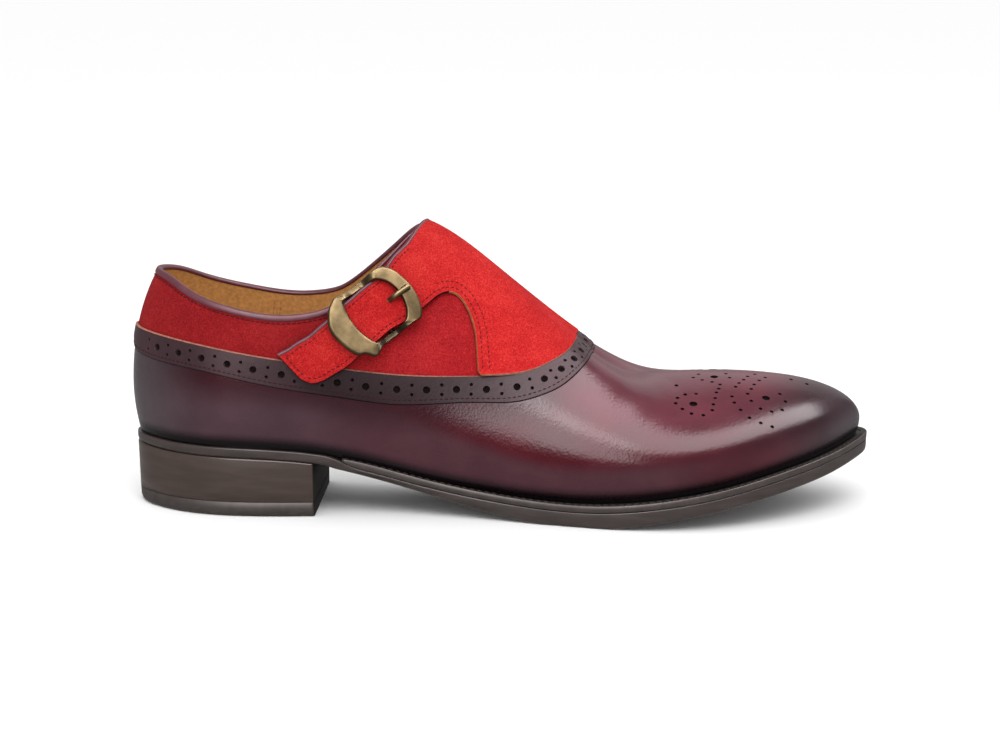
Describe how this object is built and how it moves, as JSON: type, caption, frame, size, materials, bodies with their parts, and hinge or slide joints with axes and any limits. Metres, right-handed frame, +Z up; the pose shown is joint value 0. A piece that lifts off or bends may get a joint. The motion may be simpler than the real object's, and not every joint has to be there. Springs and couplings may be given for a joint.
{
  "type": "monk strap shoe",
  "caption": "Right monk strap dress shoe with hollow upper, perforated band, suede instep strap held by a side buckle, welted leather sole and stacked heel.",
  "frame": {"origin": "on the ground under the middle of the shoe's bounding box", "axes": "+X from heel to toe, +Y to the inner side of the foot, +Z up"},
  "size_m": [0.3046, 0.0996, 0.1174],
  "materials": {
    "outsole": "polished dark brown edge",
    "welt": "satin dark brown",
    "heel": "polished dark brown",
    "top_piece": "matt",
    "lining": "matt tan",
    "upper": "glossy burgundy with darker toe, heel and edges",
    "suede": "napped red suede",
    "binding": "satin burgundy",
    "buckle": "antiqued satin"
  },
  "bodies": {
    "root": {"outsole": "outsole", "welt": "welt", "heel_stack": "heel", "heel_top_piece": "top_piece", "insole": "lining", "upper": "upper", "instep_strap": "suede", "topline_binding": "binding", "buckle_frame": "buckle", "buckle_prong": "buckle", "buckle_tab": "suede"}
  },
  "joints": []
}
